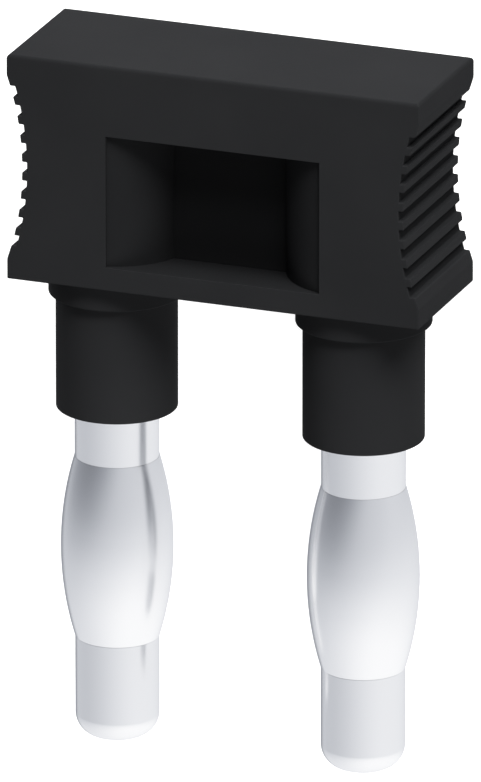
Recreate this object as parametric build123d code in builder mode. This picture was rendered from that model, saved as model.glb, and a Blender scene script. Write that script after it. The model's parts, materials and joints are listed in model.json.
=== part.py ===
"""Two-pin bridging plug for 4 mm sockets.

A black moulded grip body holds two turned pins. Inside the grip a flat link
joins the pins, and each pin carries a rolled barrel spring.

The pieces are modelled upright, in millimetres: the origin is in the middle
of the grip's underside, X runs along the pins' pitch, the front is at -Y and
the pins point to -Z. The plug can't stand on its pins, so at the end it is
laid on its back, on the floor at Z = 0, as it comes to rest.
"""

import os
from math import acos, atan2, degrees, hypot

from build123d import *

# ---------------------------------------------------------------- sizes

pitch = 10.0  # between the two pins

# grip body
body_width = 16.6
body_depth = 6.0
body_height = 8.95
top_edge_round = 0.15

# hollowed ends with horizontal grooves
grip_radius = 11.2
grip_hollow = 0.62  # how deep each end is hollowed at mid-height
groove_count = 9
groove_pitch = 0.745
groove_width = 0.41
groove_depth = 0.2
groove_shift = 0.06  # the pattern sits this much lower on the right end

# finger pockets, front and back
pocket_width = 8.6
pocket_floor = 0.92
pocket_height = 5.23
web_thickness = 2.1  # left standing between the two pockets
boss_radius = 2.93  # round wall of the moulding around each pin

# collars and insulating sleeves under the body
collar_radius = 2.6
collar_height = 1.05
collar_slope = 0.3  # height of the cone between collar and sleeve
sleeve_radius = 2.325
sleeve_length = 5.64  # from the body's underside

# pins
shank_radius = 1.61
shank_below_sleeve = 2.0
tip_length = 4.03  # from the spring's lower end to the flat end
tip_round = 0.9
anchor_depth = 0.3  # groove around the shank that locks it in the moulding
anchor_width = 0.8
anchor_height = 3.1  # middle of that groove above the underside

# link between the pins, and the rivets that hold it
link_height = 6.75  # underside of the link above the body's underside
link_thickness = 1.0
link_width = 4.0
tenon_radius = 0.95
rivet_radius = 1.45
rivet_height = 0.3

# barrel springs
spring_length = 7.28
spring_radius = 2.15  # at the middle of the barrel
spring_end_radius = 1.645
spring_wall = 0.2
spring_slit = 0.4

# ------------------------------------------------------- derived places

pin_spots = {"left": -pitch / 2, "right": pitch / 2}
body_middle = body_height / 2
grip_centre = body_width / 2 - grip_hollow + grip_radius
spring_top = -sleeve_length - shank_below_sleeve
spring_middle = spring_top - spring_length / 2
spring_bottom = spring_top - spring_length
pin_end = spring_bottom - tip_length
neck_radius = spring_end_radius - spring_wall
link_top = link_height + link_thickness

# the barrel's outer arc passes through its two ends and its middle
barrel_rise = spring_radius - spring_end_radius
barrel_arc_radius = ((spring_length / 2) ** 2 + barrel_rise**2) / (2 * barrel_rise)

os.makedirs("parts", exist_ok=True)


# ----------------------------------------------------------------- pins


def turned_pin(x):
    """A pin on the axis at x: rivet head, tenon, shank, neck and round tip."""
    with BuildPart() as pin:
        with BuildSketch(Plane.XZ.shift_origin((x, 0, 0))):
            with BuildLine():
                Polyline(
                    (0, pin_end),
                    (shank_radius, pin_end),
                    (shank_radius, spring_bottom),
                    (neck_radius, spring_bottom),
                    (neck_radius, spring_top),
                    (shank_radius, spring_top),
                    (shank_radius, anchor_height - anchor_width / 2),
                    (shank_radius - anchor_depth, anchor_height - anchor_width / 2),
                    (shank_radius - anchor_depth, anchor_height + anchor_width / 2),
                    (shank_radius, anchor_height + anchor_width / 2),
                    (shank_radius, link_height),
                    (tenon_radius, link_height),
                    (tenon_radius, link_top),
                    (rivet_radius, link_top),
                    (rivet_radius, link_top + rivet_height),
                    (0, link_top + rivet_height),
                    close=True,
                )
            make_face()
        revolve(axis=Axis((x, 0, 0), (0, 0, 1)))
        end_rim = pin.edges().filter_by(GeomType.CIRCLE).sort_by(Axis.Z)[0]
        fillet(end_rim, radius=tip_round)
    return pin.part


pins = {f"{side}_pin": turned_pin(x) for side, x in pin_spots.items()}


# -------------------------------------------------------- barrel springs


def barrel_spring(x):
    """A thin rolled sleeve, bulged like a barrel, with its slit at the back."""
    with BuildPart() as spring:
        with BuildSketch(Plane.XZ.shift_origin((x, 0, 0))):
            with BuildLine():
                outer = ThreePointArc(
                    (spring_end_radius, spring_bottom),
                    (spring_radius, spring_middle),
                    (spring_end_radius, spring_top),
                )
                inner = ThreePointArc(
                    (spring_end_radius - spring_wall, spring_bottom),
                    (spring_radius - spring_wall, spring_middle),
                    (spring_end_radius - spring_wall, spring_top),
                )
                Line(outer @ 0, inner @ 0)
                Line(outer @ 1, inner @ 1)
            make_face()
        revolve(axis=Axis((x, 0, 0), (0, 0, 1)))
        with BuildSketch(Plane.XY.offset(spring_bottom)):
            with Locations((x, spring_radius)):
                Rectangle(spring_slit, 2 * spring_radius)
        extrude(amount=spring_length, mode=Mode.SUBTRACT)
    return spring.part


springs = {f"{side}_contact_spring": barrel_spring(x) for side, x in pin_spots.items()}


# ----------------------------------------------------------------- link

with BuildPart() as bridge_bar:
    with BuildSketch(Plane.XY.offset(link_height)):
        SlotCenterToCenter(pitch, link_width)
        with GridLocations(pitch, 0, 2, 1):
            Circle(tenon_radius, mode=Mode.SUBTRACT)
    extrude(amount=link_thickness)


# -------------------------------------------------------------- housing

with BuildPart() as housing:
    # block with its two ends hollowed from front to back
    with BuildSketch(Plane.XZ):
        with Locations((0, body_middle)):
            Rectangle(body_width, body_height)
        with Locations((grip_centre, body_middle), (-grip_centre, body_middle)):
            Circle(grip_radius, mode=Mode.SUBTRACT)
    extrude(amount=body_depth / 2, both=True)

    top_rim = housing.faces().sort_by(Axis.Z)[-1].edges()
    fillet(top_rim, radius=top_edge_round)

    # grip grooves, with their floors on an arc around the same centre
    with BuildSketch(Plane.XZ) as right_grooves:
        with Locations((body_width / 2, body_middle - groove_shift)):
            with GridLocations(0, groove_pitch, 1, groove_count):
                Rectangle(body_width / 2, groove_width)
        with Locations((grip_centre, body_middle)):
            Circle(grip_radius + groove_depth, mode=Mode.INTERSECT)
    extrude(amount=body_depth / 2, both=True, mode=Mode.SUBTRACT)

    # the left end is the right one turned half round about the middle
    with BuildSketch(Plane.XZ) as left_grooves:
        with Locations((-body_width / 2, body_middle + groove_shift)):
            with GridLocations(0, groove_pitch, 1, groove_count):
                Rectangle(body_width / 2, groove_width)
        with Locations((-grip_centre, body_middle)):
            Circle(grip_radius + groove_depth, mode=Mode.INTERSECT)
    extrude(amount=body_depth / 2, both=True, mode=Mode.SUBTRACT)

    # finger pockets: their side walls follow the bosses around the pins
    pocket_depth = (body_depth - web_thickness) / 2
    with BuildSketch(Plane.XY.offset(pocket_floor)) as pockets:
        with GridLocations(0, web_thickness + pocket_depth, 1, 2):
            Rectangle(pocket_width, pocket_depth)
        with GridLocations(pitch, 0, 2, 1):
            Circle(boss_radius, mode=Mode.SUBTRACT)
    extrude(amount=pocket_height, mode=Mode.SUBTRACT)

    # collars and insulating sleeves
    with BuildSketch(Plane.XY):
        with GridLocations(pitch, 0, 2, 1):
            Circle(sleeve_radius)
    extrude(amount=-sleeve_length)
    for x in pin_spots.values():
        with BuildSketch(Plane.XZ.shift_origin((x, 0, 0))):
            with BuildLine():
                Polyline(
                    (0, 0),
                    (collar_radius, 0),
                    (collar_radius, -collar_height),
                    (sleeve_radius, -collar_height - collar_slope),
                    (0, -collar_height - collar_slope),
                    close=True,
                )
            make_face()
        revolve(axis=Axis((x, 0, 0), (0, 0, 1)))

    # the insert leaves its own form in the moulding
    add(list(pins.values()) + [bridge_bar.part], mode=Mode.SUBTRACT)


# ------------------------------------------------------------- at rest

pieces = {"housing": housing.part, "bridge_bar": bridge_bar.part, **pins, **springs}

# on its back it touches the floor with the grip's lower back edge and with
# the two barrels: the floor's line leaves that edge at a tangent to their arc
arc_behind_edge = body_depth / 2 - spring_radius + barrel_arc_radius
edge_to_arc_centre = hypot(arc_behind_edge, spring_middle)
rest_tilt = degrees(
    acos(barrel_arc_radius / edge_to_arc_centre) - atan2(-spring_middle, arc_behind_edge)
)
on_its_back = Rotation(rest_tilt - 90, 0, 0)
bounds = (on_its_back * Compound(list(pieces.values()))).bounding_box()
at_rest = Pos(0, -bounds.center().Y, -bounds.min.Z) * on_its_back

for name, piece in pieces.items():
    resting = at_rest * piece
    resting.label = name
    export_step(resting, f"parts/{name}.step")
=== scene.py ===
import json
import math

import bmesh
import bpy
from mathutils import Matrix, Vector


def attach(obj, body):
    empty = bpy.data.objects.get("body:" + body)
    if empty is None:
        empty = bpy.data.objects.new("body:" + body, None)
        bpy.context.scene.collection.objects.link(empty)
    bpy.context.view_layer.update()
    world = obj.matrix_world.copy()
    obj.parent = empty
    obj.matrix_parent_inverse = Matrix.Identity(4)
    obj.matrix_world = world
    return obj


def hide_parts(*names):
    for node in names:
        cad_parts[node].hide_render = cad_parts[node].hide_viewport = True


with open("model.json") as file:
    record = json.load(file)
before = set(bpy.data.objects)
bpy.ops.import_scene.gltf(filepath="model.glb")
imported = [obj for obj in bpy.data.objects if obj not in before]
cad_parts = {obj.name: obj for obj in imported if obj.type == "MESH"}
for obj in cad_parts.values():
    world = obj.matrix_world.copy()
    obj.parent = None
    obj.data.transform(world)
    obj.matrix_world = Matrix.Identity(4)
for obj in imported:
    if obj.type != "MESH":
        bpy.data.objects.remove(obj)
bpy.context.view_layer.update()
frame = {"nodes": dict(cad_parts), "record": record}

# ----------------------------------------------------------------- pins
# Two contact pins, turned from brass rod and plated bright. Each has a rounded
# tip, a neck for its spring, a plain shank, a groove that locks it in the grip,
# and a tenon that is riveted over the link.

# The plug can't stand on its pins, so it lies on its back, tipped onto its two
# barrels. Each piece is drawn upright and in millimetres, with the middle of
# the grip's underside at the origin, and at_rest then lays it in its place.
mounts = {mount["name"]: mount for mount in frame["record"]["mounts"]}
millimetre = 0.001
grip_underside = Vector(mounts["seat"]["pos_m"])
up = -Vector(mounts["seat"]["axis"]).normalized()
right = Vector((1, 0, 0))
back = up.cross(right)
at_rest = (
    Matrix.Translation(grip_underside)
    @ Matrix((right, back, up)).transposed().to_4x4()
    @ Matrix.Scale(millimetre, 4)
)
to_the_drawing = at_rest.inverted()


def on_the_drawing(mount_name):
    """Where a mount is on the upright drawing, in millimetres."""
    return to_the_drawing @ Vector(mounts[mount_name]["pos_m"])


pin_x = {side: on_the_drawing(f"{side}_barrel").x for side in ("left", "right")}
pin_facets = 128
shank_radius = mounts["left_pin_end"]["dims"]["r_mm"]
spring_radius = mounts["left_barrel"]["dims"]["r_mm"]
spring_length = mounts["left_barrel"]["dims"]["length_mm"]
spring_middle = on_the_drawing("left_barrel").z
spring_top = spring_middle + spring_length / 2
spring_bottom = spring_middle - spring_length / 2
spring_end_radius = 1.62
spring_wall = 0.2
neck_radius = spring_end_radius - spring_wall
tip_length = 4.03
tip_round = 0.9
tip_facets = 14
pin_end = spring_bottom - tip_length
pin_edge_break = 0.02
anchor_depth = 0.3
anchor_floor = shank_radius - anchor_depth
anchor_bottom = 2.7
anchor_top = 3.5
link_bottom = 6.75
link_top = 7.75
tenon_radius = 0.95
rivet_radius = 1.45
rivet_height = 0.3
rivet_top = link_top + rivet_height

touching = 1e-4  # points this near to each other are one
hair = 1e-3  # how near to its height or plane an edge is looked for
facet_room = 1e-2  # and how near to its circle, as facets cut inside it
sharp_from = math.radians(35)  # an edge that turns more is shaded as sharp


def drawn_outline(bm, profile, axis_x=0.0):
    """A line through the corners that a profile gives as radius and height."""
    corners = [bm.verts.new((axis_x + radius, 0, z)) for radius, z in profile]
    return corners + [bm.edges.new(pair) for pair in zip(corners, corners[1:])]


def turned(bm, outline, axis_x=0.0):
    """Turns an outline once round an upright axis, as a lathe does."""
    bmesh.ops.spin(
        bm,
        geom=outline,
        cent=(axis_x, 0, 0),
        axis=(0, 0, 1),
        angle=math.tau,
        steps=pin_facets,
        use_merge=True,
    )
    bmesh.ops.remove_doubles(bm, verts=bm.verts, dist=touching)


def rims(bm, radius, z, axes=(0.0,)):
    """The round edges at that radius and height about upright axes."""

    def off_circle(p):
        return min(abs(math.hypot(p.x - x, p.y) - radius) for x in axes)

    return [
        edge
        for edge in bm.edges
        if all(
            abs(v.co.z - z) < hair and off_circle(v.co) < facet_room
            for v in edge.verts
        )
    ]


def soften(bm, edges, offset, segments):
    """Rounds edges over, as a tool or a mould leaves them."""
    bmesh.ops.bevel(
        bm,
        geom=edges,
        offset=offset,
        segments=segments,
        profile=0.5,
        affect="EDGES",
        material=-1,
    )


def laid_down(bm, name):
    """Finishes a drawn mesh, lays it in its place and makes it an object."""
    bmesh.ops.recalc_face_normals(bm, faces=bm.faces)
    drawn = bpy.data.meshes.new(name)
    bm.to_mesh(drawn)
    bm.free()
    drawn.shade_smooth()
    drawn.set_sharp_from_angle(angle=sharp_from)
    upright = bpy.data.objects.new(name, drawn)
    bpy.context.collection.objects.link(upright)
    shading = upright.modifiers.new("large_faces_first", "WEIGHTED_NORMAL")
    shading.keep_sharp = True
    shading.weight = 90
    shading.thresh = 1e-4
    mesh = bpy.data.meshes.new_from_object(
        upright.evaluated_get(bpy.context.evaluated_depsgraph_get())
    )
    bpy.data.objects.remove(upright)
    bpy.data.meshes.remove(drawn)
    mesh.transform(at_rest)
    mesh.name = name
    piece = bpy.data.objects.new(name, mesh)
    bpy.context.collection.objects.link(piece)
    return piece


def new_finish(name):
    """A material, with its nodes, their links and its shader."""
    material = bpy.data.materials.new(name)
    material.use_nodes = True
    tree = material.node_tree
    return material, tree.nodes, tree.links, tree.nodes["Principled BSDF"]


def turning_marks():
    """Node group: fine rings round the pins' axis, left by the lathe."""
    group = bpy.data.node_groups.new("turning_marks", "ShaderNodeTree")
    for socket, in_out in (
        ("Rings per Metre", "INPUT"),
        ("Roughness", "INPUT"),
        ("Spread", "INPUT"),
        ("Roughness", "OUTPUT"),
        ("Height", "OUTPUT"),
    ):
        group.interface.new_socket(socket, in_out=in_out, socket_type="NodeSocketFloat")
    nodes, links = group.nodes, group.links
    entry = nodes.new("NodeGroupInput")
    leave = nodes.new("NodeGroupOutput")
    place = nodes.new("ShaderNodeTexCoord")

    along = nodes.new("ShaderNodeVectorMath")
    along.operation = "DOT_PRODUCT"
    along.inputs[1].default_value = up
    ring_step = nodes.new("ShaderNodeMath")
    ring_step.operation = "MULTIPLY"
    rings = nodes.new("ShaderNodeTexNoise")
    rings.noise_dimensions = "1D"
    rings.inputs["Scale"].default_value = 1.0
    rings.inputs["Detail"].default_value = 3.0

    handling = nodes.new("ShaderNodeTexNoise")
    handling.inputs["Scale"].default_value = 420.0
    handling.inputs["Detail"].default_value = 4.0
    half_handling = nodes.new("ShaderNodeMath")
    half_handling.operation = "MULTIPLY_ADD"
    half_handling.inputs[1].default_value = 0.5
    half_handling.inputs[2].default_value = -0.5
    mixed = nodes.new("ShaderNodeMath")
    mixed.operation = "MULTIPLY_ADD"
    mixed.inputs[1].default_value = 0.5
    spread = nodes.new("ShaderNodeMath")
    spread.operation = "MULTIPLY_ADD"

    for source, target in (
        (place.outputs["Object"], along.inputs[0]),
        (along.outputs["Value"], ring_step.inputs[0]),
        (entry.outputs["Rings per Metre"], ring_step.inputs[1]),
        (ring_step.outputs[0], rings.inputs["W"]),
        (place.outputs["Object"], handling.inputs["Vector"]),
        (handling.outputs["Fac"], half_handling.inputs[0]),
        (rings.outputs["Fac"], mixed.inputs[0]),
        (half_handling.outputs[0], mixed.inputs[2]),
        (mixed.outputs[0], spread.inputs[0]),
        (entry.outputs["Spread"], spread.inputs[1]),
        (entry.outputs["Roughness"], spread.inputs[2]),
        (spread.outputs[0], leave.inputs["Roughness"]),
        (rings.outputs["Fac"], leave.inputs["Height"]),
    ):
        links.new(source, target)
    return group


lathe_marks = turning_marks()
bright_plating = (0.93, 0.93, 0.935, 1)


def plated(name, rings_per_metre, mark_depth):
    """Bright plating over metal, as fine or as coarse as it was worked."""
    material, nodes, links, shader = new_finish(name)
    shader.inputs["Base Color"].default_value = bright_plating
    shader.inputs["Metallic"].default_value = 1.0
    marks = nodes.new("ShaderNodeGroup")
    marks.node_tree = lathe_marks
    marks.inputs["Rings per Metre"].default_value = rings_per_metre
    marks.inputs["Roughness"].default_value = 0.21
    marks.inputs["Spread"].default_value = 0.08
    bump = nodes.new("ShaderNodeBump")
    bump.inputs["Strength"].default_value = 0.25
    bump.inputs["Distance"].default_value = mark_depth
    links.new(marks.outputs["Roughness"], shader.inputs["Roughness"])
    links.new(marks.outputs["Height"], bump.inputs["Height"])
    links.new(bump.outputs["Normal"], shader.inputs["Normal"])
    return material


pin_plating = plated("pin_plating", rings_per_metre=24000, mark_depth=1e-7)
pin_profile = (
    (0, pin_end),
    (shank_radius, pin_end),
    (shank_radius, spring_bottom),
    (neck_radius, spring_bottom),
    (neck_radius, spring_top),
    (shank_radius, spring_top),
    (shank_radius, anchor_bottom),
    (anchor_floor, anchor_bottom),
    (anchor_floor, anchor_top),
    (shank_radius, anchor_top),
    (shank_radius, link_bottom),
    (tenon_radius, link_bottom),
    (tenon_radius, link_top),
    (rivet_radius, link_top),
    (rivet_radius, rivet_top),
    (0, rivet_top),
)

for side, x in pin_x.items():
    bm = bmesh.new()
    turned(bm, drawn_outline(bm, pin_profile))
    soften(bm, rims(bm, shank_radius, pin_end), tip_round, tip_facets)
    soften(bm, rims(bm, shank_radius, spring_bottom), pin_edge_break, segments=2)
    bmesh.ops.translate(bm, verts=bm.verts, vec=(x, 0, 0))
    pin = laid_down(bm, f"{side}_pin_turned")
    pin.data.materials.append(pin_plating)
    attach(pin, "root")
    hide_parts(f"{side}_pin")

# -------------------------------------------------------- barrel springs
# A thin strip of spring metal, rolled into a barrel with one slit along its
# back and plated as bright as the pin. It snaps over the neck and presses
# against the socket's wall.

barrel_rise = spring_radius - spring_end_radius
barrel_arc_radius = ((spring_length / 2) ** 2 + barrel_rise**2) / (2 * barrel_rise)
barrel_half_angle = math.asin(spring_length / 2 / barrel_arc_radius)
barrel_rings = 40
spring_slit = 0.4
slit_hair = 1e-5  # a point this near to a side of the slit is on it
spring_edge_break = 0.012
spring_plating = plated("spring_plating", rings_per_metre=9000, mark_depth=5e-8)


def rolled_barrel():
    """The outside of a barrel about Z: an arc, turned once round."""
    bm = bmesh.new()
    lower_end = bm.verts.new((spring_end_radius, 0, spring_bottom))
    bmesh.ops.spin(
        bm,
        geom=[lower_end],
        cent=(spring_radius - barrel_arc_radius, 0, spring_middle),
        axis=(0, 1, 0),
        angle=-2 * barrel_half_angle,
        steps=barrel_rings,
    )
    turned(bm, bm.verts[:] + bm.edges[:])
    return bm


def slit_along_the_back(bm):
    """Cuts a barrel along both sides of its slit and takes the strip out."""
    for edge_x in (-spring_slit / 2, spring_slit / 2):
        rear = [face for face in bm.faces if face.calc_center_median().y > 0]
        rear_parts = {part for face in rear for part in (*face.verts, *face.edges)}
        bmesh.ops.bisect_plane(
            bm,
            geom=rear + list(rear_parts),
            dist=slit_hair,
            plane_co=(edge_x, 0, 0),
            plane_no=(1, 0, 0),
        )
    in_the_slit = [
        face
        for face in bm.faces
        if face.calc_center_median().y > 0
        and abs(face.calc_center_median().x) < spring_slit / 2
    ]
    bmesh.ops.delete(bm, geom=in_the_slit, context="FACES")


for side, x in pin_x.items():
    bm = rolled_barrel()
    slit_along_the_back(bm)
    bmesh.ops.recalc_face_normals(bm, faces=bm.faces)
    bmesh.ops.solidify(bm, geom=bm.faces[:], thickness=spring_wall)
    ends = [
        edge
        for end in (spring_top, spring_bottom)
        for edge in rims(bm, spring_end_radius, end)
    ]
    soften(bm, ends, spring_edge_break, segments=2)
    bmesh.ops.translate(bm, verts=bm.verts, vec=(x, 0, 0))
    spring = laid_down(bm, f"{side}_spring_rolled")
    spring.data.materials.append(spring_plating)
    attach(spring, "root")
    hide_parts(f"{side}_contact_spring")

# ----------------------------------------------------------------- link
# A flat bar punched from rolled brass, which joins the two pins. It is moulded
# into the top of the grip, so it never shows.

link_metal, link_nodes, link_links, link_shader = new_finish("link_brass")
link_shader.inputs["Metallic"].default_value = 1.0
link_shader.inputs["Base Color"].default_value = (0.72, 0.52, 0.24, 1)
link_place = link_nodes.new("ShaderNodeTexCoord")
link_stretch = link_nodes.new("ShaderNodeMapping")
link_stretch.inputs["Scale"].default_value = (300, 6000, 6000)
link_grain = link_nodes.new("ShaderNodeTexNoise")
link_grain.inputs["Scale"].default_value = 1.0
link_range = link_nodes.new("ShaderNodeMapRange")
link_range.inputs["To Min"].default_value = 0.25
link_range.inputs["To Max"].default_value = 0.45
link_links.new(link_place.outputs["Object"], link_stretch.inputs["Vector"])
link_links.new(link_stretch.outputs["Vector"], link_grain.inputs["Vector"])
link_links.new(link_grain.outputs["Fac"], link_range.inputs["Value"])
link_links.new(link_range.outputs["Result"], link_shader.inputs["Roughness"])
link_bar = frame["nodes"]["bridge_bar"]
link_bar.data.materials.clear()
link_bar.data.materials.append(link_metal)

# ----------------------------------------------------------------- grip
# The black polyamide grip, one moulding round the pins and the link: a block
# with two hollowed, grooved ends and a finger pocket in front and back, and
# under it a collar and an insulating sleeve around each pin.

body_width = 16.6
body_depth = 6.0
body_height = on_the_drawing("top_face").z
body_middle = body_height / 2
top_edge_round = 0.15
body_edge_break = 0.045

grip_radius = 11.2
grip_hollow = 0.62
grip_centre = body_width / 2 - grip_hollow + grip_radius
groove_count = 9
groove_pitch = 0.745
groove_width = 0.41
groove_depth = 0.2
groove_shift = 0.06

pocket_width = 8.6
pocket_floor = 0.92
pocket_height = 5.23
pocket_edge_break = 0.02
mouth_sharpness = math.radians(60)  # least turn of the edge round a mouth
web_thickness = 2.1
boss_radius = 2.93
boss_facets = 24

collar_radius = 2.6
collar_height = 1.02
collar_edge_break = 0.05
collar_root = 0.5  # how far the collars reach up into the block
sleeve_radius = mounts["left_sleeve"]["dims"]["r_mm"]
sleeve_length = mounts["left_sleeve"]["dims"]["length_mm"]
sleeve_end = on_the_drawing("left_sleeve").z - sleeve_length / 2
sleeve_edge_break = 0.05


def extruded(bm, face, way):
    """Draws a face out into a solid."""
    grown = bmesh.ops.extrude_face_region(bm, geom=[face])["geom"]
    far_side = [part for part in grown if isinstance(part, bmesh.types.BMVert)]
    bmesh.ops.translate(bm, verts=far_side, vec=way)


def end_x(radius, z):
    """How far out an arc round the right grip centre is at that height."""
    return grip_centre - math.sqrt(radius**2 - (z - body_middle) ** 2)


def block():
    """The grooved block: its front outline, drawn once and extruded back."""
    hollow_half = math.sqrt(grip_radius**2 - (grip_centre - body_width / 2) ** 2)
    right_end = [(body_width / 2, 0), (body_width / 2, body_middle - hollow_half)]
    lowest_groove = body_middle - groove_shift - groove_pitch * (groove_count - 1) / 2
    for number in range(groove_count):
        middle = lowest_groove + number * groove_pitch
        lower, upper = middle - groove_width / 2, middle + groove_width / 2
        for radius, z in (
            (grip_radius, lower),
            (grip_radius + groove_depth, lower),
            (grip_radius + groove_depth, upper),
            (grip_radius, upper),
        ):
            right_end.append((end_x(radius, z), z))
    right_end.append((body_width / 2, body_middle + hollow_half))
    right_end.append((body_width / 2, body_height))
    left_end = [(-x, body_height - z) for x, z in right_end]

    bm = bmesh.new()
    corners = [bm.verts.new((x, -body_depth / 2, z)) for x, z in right_end + left_end]
    extruded(bm, bm.faces.new(corners), way=(0, body_depth, 0))
    bmesh.ops.recalc_face_normals(bm, faces=bm.faces)
    softness = bm.edges.layers.float.new("bevel_weight_edge")
    for edge in bm.edges:
        if all(abs(v.co.z - body_height) < hair for v in edge.verts):
            edge[softness] = 1.0
        else:
            edge[softness] = body_edge_break / top_edge_round
    return bm


def finger_pockets():
    """What the pockets take away: their side walls bulge round the bosses."""
    from_boss = pin_x["right"] - pocket_width / 2
    mouth_angle = math.asin(from_boss / boss_radius)
    back_angle = math.acos(web_thickness / 2 / boss_radius)
    angles = [
        mouth_angle + (back_angle - mouth_angle) * step / boss_facets
        for step in range(boss_facets + 1)
    ]
    left_wall = [(-pocket_width / 2, -body_depth)]
    left_wall += [
        (pin_x["left"] + boss_radius * math.sin(a), -boss_radius * math.cos(a))
        for a in angles
    ]
    right_wall = [(-x, y) for x, y in reversed(left_wall)]

    bm = bmesh.new()
    corners = [bm.verts.new((x, y, pocket_floor)) for x, y in left_wall + right_wall]
    extruded(bm, bm.faces.new(corners), way=(0, 0, pocket_height))
    front_core = bm.verts[:] + bm.edges[:] + bm.faces[:]
    copied = bmesh.ops.duplicate(bm, geom=front_core)["geom"]
    rear = [part for part in copied if isinstance(part, bmesh.types.BMVert)]
    half_round = Matrix.Rotation(math.pi, 3, "Z")
    bmesh.ops.rotate(bm, verts=rear, cent=(0, 0, 0), matrix=half_round)
    bmesh.ops.recalc_face_normals(bm, faces=bm.faces)
    return bm


def sleeves():
    """Collar and sleeve round each pin, rooted a little way in the block."""
    profile = (
        (0, collar_root),
        (collar_radius, collar_root),
        (collar_radius, -collar_height),
        (sleeve_radius, -collar_height),
        (sleeve_radius, sleeve_end),
        (0, sleeve_end),
    )
    bm = bmesh.new()
    for x in pin_x.values():
        turned(bm, drawn_outline(bm, profile, axis_x=x), axis_x=x)
    bmesh.ops.recalc_face_normals(bm, faces=bm.faces)
    return bm


def pin_holes():
    """The room that the shanks of the pins take, up to the link."""
    overshoot = 1
    lowest = sleeve_end - overshoot
    bm = bmesh.new()
    for x in pin_x.values():
        bmesh.ops.create_cone(
            bm,
            cap_ends=True,
            segments=pin_facets,
            radius1=shank_radius,
            radius2=shank_radius,
            depth=link_bottom - lowest,
            matrix=Matrix.Translation((x, 0, (link_bottom + lowest) / 2)),
        )
    return bm


def still_upright(bm, name):
    """An object that is still upright and in millimetres, for cutting."""
    mesh = bpy.data.meshes.new(name)
    bm.to_mesh(mesh)
    bm.free()
    core = bpy.data.objects.new(name, mesh)
    bpy.context.collection.objects.link(core)
    return core


def within_a_pocket(p):
    """Whether a point is as high as a pocket and between its sides."""
    return (
        abs(p.x) < pocket_width / 2 + hair
        and pocket_floor - hair < p.z < pocket_floor + pocket_height + hair
    )


def at_a_mouth(edge):
    """Whether an edge is where a pocket meets the front or the back."""
    return (
        all(
            within_a_pocket(v.co) and abs(abs(v.co.y) - body_depth / 2) < hair
            for v in edge.verts
        )
        and len(edge.link_faces) == 2
        and edge.calc_face_angle() > mouth_sharpness
    )


moulding = still_upright(block(), "grip_moulded")
soft_edges = moulding.modifiers.new("soft_edges", "BEVEL")
soft_edges.width = top_edge_round
soft_edges.segments = 4
soft_edges.limit_method = "WEIGHT"
cuts = (
    ("UNION", still_upright(sleeves(), "grip_sleeves")),
    ("DIFFERENCE", still_upright(finger_pockets(), "pocket_cores")),
    ("DIFFERENCE", still_upright(pin_holes(), "pin_cores")),
)
for operation, core in cuts:
    cut = moulding.modifiers.new(core.name, "BOOLEAN")
    cut.operation = operation
    cut.object = core
    cut.solver = "EXACT"
shaped = bpy.data.meshes.new_from_object(
    moulding.evaluated_get(bpy.context.evaluated_depsgraph_get())
)
for core in [moulding] + [core for _, core in cuts]:
    bpy.data.objects.remove(core)

bm = bmesh.new()
bm.from_mesh(shaped)
bmesh.ops.remove_doubles(bm, verts=bm.verts, dist=touching)
soften(bm, [e for e in bm.edges if at_a_mouth(e)], pocket_edge_break, segments=3)
for radius, z, edge_break in (
    (sleeve_radius, sleeve_end, sleeve_edge_break),
    (collar_radius, -collar_height, collar_edge_break),
):
    soften(bm, rims(bm, radius, z, pin_x.values()), edge_break, segments=3)
grip = laid_down(bm, "grip_moulded")
bpy.data.meshes.remove(shaped)

darkest_black = (0.0082, 0.0084, 0.0089, 1)
palest_black = (0.0094, 0.0096, 0.0101, 1)


def moulded_skin():
    """Node group: the fine grain and faint clouds of moulded polyamide, times a painted
    shade.
    """
    group = bpy.data.node_groups.new("moulded_skin", "ShaderNodeTree")
    for socket, in_out, kind in (
        ("Grain per Metre", "INPUT", "NodeSocketFloat"),
        ("Shade", "INPUT", "NodeSocketFloat"),
        ("Color", "OUTPUT", "NodeSocketColor"),
        ("Roughness", "OUTPUT", "NodeSocketFloat"),
        ("Height", "OUTPUT", "NodeSocketFloat"),
    ):
        group.interface.new_socket(socket, in_out=in_out, socket_type=kind)
    nodes, links = group.nodes, group.links
    entry = nodes.new("NodeGroupInput")
    leave = nodes.new("NodeGroupOutput")
    place = nodes.new("ShaderNodeTexCoord")
    grain = nodes.new("ShaderNodeTexNoise")
    grain.inputs["Detail"].default_value = 3.0
    gloss = nodes.new("ShaderNodeMapRange")
    gloss.inputs["To Min"].default_value = 0.6
    gloss.inputs["To Max"].default_value = 0.8
    clouds = nodes.new("ShaderNodeTexNoise")
    clouds.inputs["Scale"].default_value = 260.0
    clouds.inputs["Detail"].default_value = 5.0
    tone = nodes.new("ShaderNodeValToRGB")
    tone.color_ramp.elements[0].position = 0.3
    tone.color_ramp.elements[0].color = darkest_black
    tone.color_ramp.elements[1].position = 0.7
    tone.color_ramp.elements[1].color = palest_black
    # The Shade input multiplies painted shade into the colour; 1 leaves it unshaded.
    shaded = nodes.new("ShaderNodeMix")
    shaded.data_type = "RGBA"
    shaded.blend_type = "MULTIPLY"
    shaded.inputs["Factor"].default_value = 1.0
    for source, target in (
        (place.outputs["Object"], grain.inputs["Vector"]),
        (entry.outputs["Grain per Metre"], grain.inputs["Scale"]),
        (grain.outputs["Fac"], gloss.inputs["Value"]),
        (place.outputs["Object"], clouds.inputs["Vector"]),
        (clouds.outputs["Fac"], tone.inputs["Fac"]),
        (tone.outputs["Color"], shaded.inputs["A"]),
        (entry.outputs["Shade"], shaded.inputs["B"]),
        (shaded.outputs["Result"], leave.inputs["Color"]),
        (gloss.outputs["Result"], leave.inputs["Roughness"]),
        (grain.outputs["Fac"], leave.inputs["Height"]),
    ):
        links.new(source, target)
    return group


polyamide_skin = moulded_skin()


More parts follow.
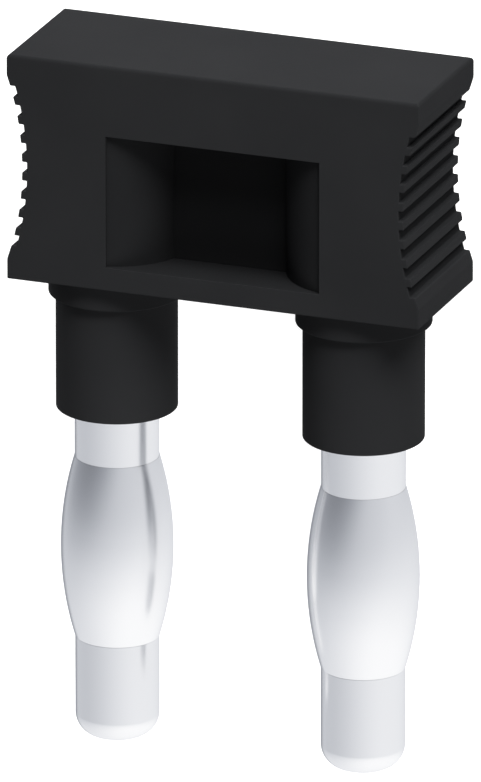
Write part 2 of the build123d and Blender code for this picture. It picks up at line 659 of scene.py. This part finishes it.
def black_polyamide(name):
    """Dull black polyamide, and the node of its skin."""
    material, nodes, links, shader = new_finish(name)
    shader.inputs["Specular IOR Level"].default_value = 0.01
    skin = nodes.new("ShaderNodeGroup")
    skin.node_tree = polyamide_skin
    skin.inputs["Grain per Metre"].default_value = 14000.0
    skin.inputs["Shade"].default_value = 1.0
    bump = nodes.new("ShaderNodeBump")
    bump.inputs["Strength"].default_value = 0.35
    bump.inputs["Distance"].default_value = 6e-6
    links.new(skin.outputs["Color"], shader.inputs["Base Color"])
    links.new(skin.outputs["Roughness"], shader.inputs["Roughness"])
    links.new(skin.outputs["Height"], bump.inputs["Height"])
    links.new(bump.outputs["Normal"], shader.inputs["Normal"])
    return material, skin


plain_polyamide, _ = black_polyamide("black_polyamide")

# Painted shade: the skin in the pockets and grooves is darkened where shade falls,
# in a pocket towards the web, and in a groove towards its upper edge.
painted_shade_polyamide, painted_shade_skin = black_polyamide("painted_shade_skin")
nodes, links = painted_shade_polyamide.node_tree.nodes, painted_shade_polyamide.node_tree.links
end_begins = body_width / 3
place = nodes.new("ShaderNodeTexCoord")
upright_place = nodes.new("ShaderNodeMapping")
upright_place.inputs["Location"].default_value = to_the_drawing.to_translation()
upright_place.inputs["Rotation"].default_value = to_the_drawing.to_euler()
upright_place.inputs["Scale"].default_value = to_the_drawing.to_scale()
either_side = nodes.new("ShaderNodeVectorMath")
either_side.operation = "ABSOLUTE"
from_middle = nodes.new("ShaderNodeSeparateXYZ")
# Painted shade in a pocket: darkest at the web, lighter towards the mouth.
pocket_shade = nodes.new("ShaderNodeMapRange")
pocket_shade.inputs["From Min"].default_value = web_thickness / 2
pocket_shade.inputs["From Max"].default_value = body_depth / 2
pocket_shade.inputs["To Min"].default_value = 0.39
pocket_shade.inputs["To Max"].default_value = 0.73
spot = nodes.new("ShaderNodeSeparateXYZ")
which_end = nodes.new("ShaderNodeMath")
which_end.operation = "SIGN"
shifted_height = nodes.new("ShaderNodeMath")
shifted_height.operation = "MULTIPLY_ADD"
shifted_height.inputs[1].default_value = groove_shift
middle_groove = nodes.new("ShaderNodeMath")
middle_groove.operation = "WRAP"
middle_groove.inputs[1].default_value = body_middle + groove_pitch / 2
middle_groove.inputs[2].default_value = body_middle - groove_pitch / 2
# Painted shade in a groove: darkest at its upper edge, under the ridge above.
groove_shade = nodes.new("ShaderNodeMapRange")
groove_shade.inputs["From Min"].default_value = body_middle - groove_width / 2
groove_shade.inputs["From Max"].default_value = body_middle + groove_width / 2
groove_shade.inputs["To Min"].default_value = 0.92
groove_shade.inputs["To Max"].default_value = 0.18
at_the_ends = nodes.new("ShaderNodeMath")
at_the_ends.operation = "GREATER_THAN"
at_the_ends.inputs[1].default_value = end_begins
shade = nodes.new("ShaderNodeMix")
for source, target in (
    (place.outputs["Object"], upright_place.inputs["Vector"]),
    (upright_place.outputs["Vector"], either_side.inputs[0]),
    (either_side.outputs["Vector"], from_middle.inputs["Vector"]),
    (from_middle.outputs["Y"], pocket_shade.inputs["Value"]),
    (upright_place.outputs["Vector"], spot.inputs["Vector"]),
    (spot.outputs["X"], which_end.inputs[0]),
    (which_end.outputs[0], shifted_height.inputs[0]),
    (spot.outputs["Z"], shifted_height.inputs[2]),
    (shifted_height.outputs[0], middle_groove.inputs[0]),
    (middle_groove.outputs[0], groove_shade.inputs["Value"]),
    (from_middle.outputs["X"], at_the_ends.inputs[0]),
    (at_the_ends.outputs[0], shade.inputs["Factor"]),
    (pocket_shade.outputs["Result"], shade.inputs["A"]),
    (groove_shade.outputs["Result"], shade.inputs["B"]),
    (shade.outputs["Result"], painted_shade_skin.inputs["Shade"]),
):
    links.new(source, target)


def in_a_pocket(p):
    """Whether a point is on a wall of a pocket, behind its softened mouth."""
    deepest, shallowest = web_thickness / 2, body_depth / 2 - pocket_edge_break
    return within_a_pocket(p) and deepest - hair < abs(p.y) < shallowest


def in_a_groove(p):
    """Whether a point is deeper in one of the ends than the ridges are."""
    grooved_half = groove_pitch * (groove_count - 1) / 2 + groove_width / 2 + groove_shift
    from_grip_centre = math.hypot(grip_centre - abs(p.x), p.z - body_middle)
    return (
        abs(p.x) > end_begins
        and abs(p.z - body_middle) < grooved_half + hair
        and from_grip_centre > grip_radius + hair
    )


grip.data.materials.clear()
grip.data.materials.append(plain_polyamide)
grip.data.materials.append(painted_shade_polyamide)
# Faces in the pockets and grooves take the material with the painted shade.
for face in grip.data.polygons:
    middle = to_the_drawing @ face.center
    runs_back = abs(face.normal.dot(back)) < 0.5
    if in_a_pocket(middle) or (runs_back and in_a_groove(middle)):
        face.material_index = 1
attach(grip, "root")
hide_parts("housing")

# ---------------------------------------------------------------- floor
# A plain white table top, lit evenly from below as a light table is, so that
# the plug casts no shadow on it.

floor_reach = 6.0  # metres, to each side
bm = bmesh.new()
bmesh.ops.create_grid(bm, x_segments=1, y_segments=1, size=floor_reach)
floor_mesh = bpy.data.meshes.new("floor")
bm.to_mesh(floor_mesh)
bm.free()
floor = bpy.data.objects.new("floor", floor_mesh)
floor.visible_diffuse = False
floor.visible_glossy = False
floor.visible_shadow = False
bpy.context.collection.objects.link(floor)
floor_paint, _, _, floor_shader = new_finish("floor_paint")
floor_shader.inputs["Base Color"].default_value = (0.45, 0.45, 0.45, 1)
floor_shader.inputs["Roughness"].default_value = 0.9
floor_shader.inputs["Specular IOR Level"].default_value = 0.0
floor_shader.inputs["Emission Color"].default_value = (1, 1, 1, 1)
floor_shader.inputs["Emission Strength"].default_value = 0.9
floor.data.materials.append(floor_paint)

# ---------------------------------------------------------------- light
# The plating reflects a soft white studio: brightest where the pins point,
# darker beyond the grip, with a dark card at the upper left. Wide, soft suns,
# which the plating doesn't reflect, light the black grip.

studio = bpy.data.worlds.new("studio")
bpy.context.scene.world = studio
studio.cycles_visibility.diffuse = False
studio.use_nodes = True
sky_nodes, sky_links = studio.node_tree.nodes, studio.node_tree.links
sky = sky_nodes["Background"]
sky_way = sky_nodes.new("ShaderNodeTexCoord")


def sky_fade(way, near, far, strengths):
    """A strength that changes softly across the sky, to its second value that way."""
    along = sky_nodes.new("ShaderNodeVectorMath")
    along.operation = "DOT_PRODUCT"
    along.inputs[1].default_value = way
    fade = sky_nodes.new("ShaderNodeMapRange")
    fade.interpolation_type = "SMOOTHSTEP"
    fade.inputs["From Min"].default_value = near
    fade.inputs["From Max"].default_value = far
    fade.inputs["To Min"].default_value = strengths[0]
    fade.inputs["To Max"].default_value = strengths[1]
    sky_links.new(sky_way.outputs["Generated"], along.inputs[0])
    sky_links.new(along.outputs["Value"], fade.inputs["Value"])
    return fade.outputs["Result"]


def together(operation, first, second):
    """Two strengths of the sky, worked into one."""
    both = sky_nodes.new("ShaderNodeMath")
    both.operation = operation
    sky_links.new(first, both.inputs[0])
    sky_links.new(second, both.inputs[1])
    return both.outputs[0]


rightwards = right * 0.865 - back * 0.05 - up * 0.5
to_the_card = -right * 0.454 - back * 0.162 + up * 0.876
frontwards = right * 0.062 - back * 0.714 + up * 0.697
behind_left = -right * 0.541 + back * 0.772 - up * 0.333
tip_light = sky_fade(-up, near=0.028, far=0.637, strengths=(0.592, 0.892))
side_light = sky_fade(rightwards, near=-1.0, far=1.0, strengths=(-0.148, 0.148))
dark_card = sky_fade(to_the_card, near=0.042, far=0.721, strengths=(1.0, 0.522))
dark_front = sky_fade(frontwards, near=0.0, far=0.6, strengths=(1.0, 0.939))
dark_behind = sky_fade(behind_left, near=0.92, far=0.99, strengths=(1.0, 0.5))
beyond_grip = sky_fade(up, near=0.25, far=0.9, strengths=(0.0, 0.3))
shaped_light = together("ADD", tip_light, side_light)
for shading in (dark_card, dark_front, dark_behind):
    shaped_light = together("MULTIPLY", shaped_light, shading)
all_round = together("ADD", shaped_light, beyond_grip)

seen = sky_nodes.new("ShaderNodeLightPath")
backdrop = sky_nodes.new("ShaderNodeMix")
backdrop.inputs["B"].default_value = 0.95
sky_links.new(seen.outputs["Is Camera Ray"], backdrop.inputs["Factor"])
sky_links.new(all_round, backdrop.inputs["A"])
sky_links.new(backdrop.outputs["Result"], sky.inputs["Strength"])
coolness = sky_nodes.new("ShaderNodeMapRange")
coolness.inputs["From Min"].default_value = 0.3
coolness.inputs["From Max"].default_value = 1.1
sky_links.new(all_round, coolness.inputs["Value"])
plain = together("MAXIMUM", coolness.outputs["Result"], seen.outputs["Is Camera Ray"])
sky_colour = sky_nodes.new("ShaderNodeMix")
sky_colour.data_type = "RGBA"
sky_colour.inputs["A"].default_value = (0.9, 0.945, 1.05, 1)
sky_colour.inputs["B"].default_value = (1, 1, 1, 1)
sky_links.new(plain, sky_colour.inputs["Factor"])
sky_links.new(sky_colour.outputs["Result"], sky.inputs["Color"])


def soft_sun(name, way, spread, strength):
    """A wide, soft light from that way, which the plating doesn't reflect."""
    lamp = bpy.data.lights.new(name, "SUN")
    lamp.angle = math.radians(spread)
    lamp.energy = strength
    sun = bpy.data.objects.new(name, lamp)
    sun.rotation_euler = way.to_track_quat("Z", "Y").to_euler()
    sun.visible_camera = False
    sun.visible_glossy = False
    bpy.context.collection.objects.link(sun)


key_way = right * 0.4 - back * 0.4 + up * 0.82
soft_sun("key_light", key_way, spread=30, strength=8.6)
soft_sun("top_light", -back * 0.4 + up * 0.92, spread=30, strength=3.1)
soft_sun("top_rear_light", back + up, spread=45, strength=2.1)
soft_sun("left_light", -right + back * 0.5 + up * 0.5, spread=45, strength=6.0)
soft_sun("rear_light", back, spread=45, strength=1.2)
soft_sun("low_rear_light", right + back - up, spread=45, strength=1.7)
soft_sun("low_right_light", right - back - up, spread=45, strength=3.7)
soft_sun("low_left_light", -right - back - up, spread=45, strength=1.4)

# --------------------------------------------------------------- camera
# The photograph's view, nearly parallel: from the right, the front and above
# of the upright plug, which is from straight over the plug as it lies.

view_azimuth = math.radians(20.714)
view_elevation = math.radians(19.63)
picture_height = 782
pixels_per_mm = 26.38
aim_on_plug = Vector((0.016, 0.0, -4.471))
sensor = 36.0
lens = 1000.0

toward_camera = at_rest.to_3x3().normalized() @ Vector(
    (
        math.sin(view_azimuth) * math.cos(view_elevation),
        -math.cos(view_azimuth) * math.cos(view_elevation),
        math.sin(view_elevation),
    )
)
picture_right = up.cross(toward_camera).normalized()
picture_up = toward_camera.cross(picture_right)
facing_the_plug = Matrix((picture_right, picture_up, toward_camera)).transposed()
distance = picture_height / pixels_per_mm * millimetre * lens / sensor
stand = at_rest @ aim_on_plug + toward_camera * distance
camera = bpy.data.objects.new("camera", bpy.data.cameras.new("camera"))
camera.data.lens = lens
camera.data.sensor_width = sensor
camera.data.clip_end = 2 * distance
camera.matrix_world = Matrix.Translation(stand) @ facing_the_plug.to_4x4()
bpy.context.collection.objects.link(camera)
bpy.context.scene.camera = camera
bpy.context.scene.view_settings.view_transform = "Standard"
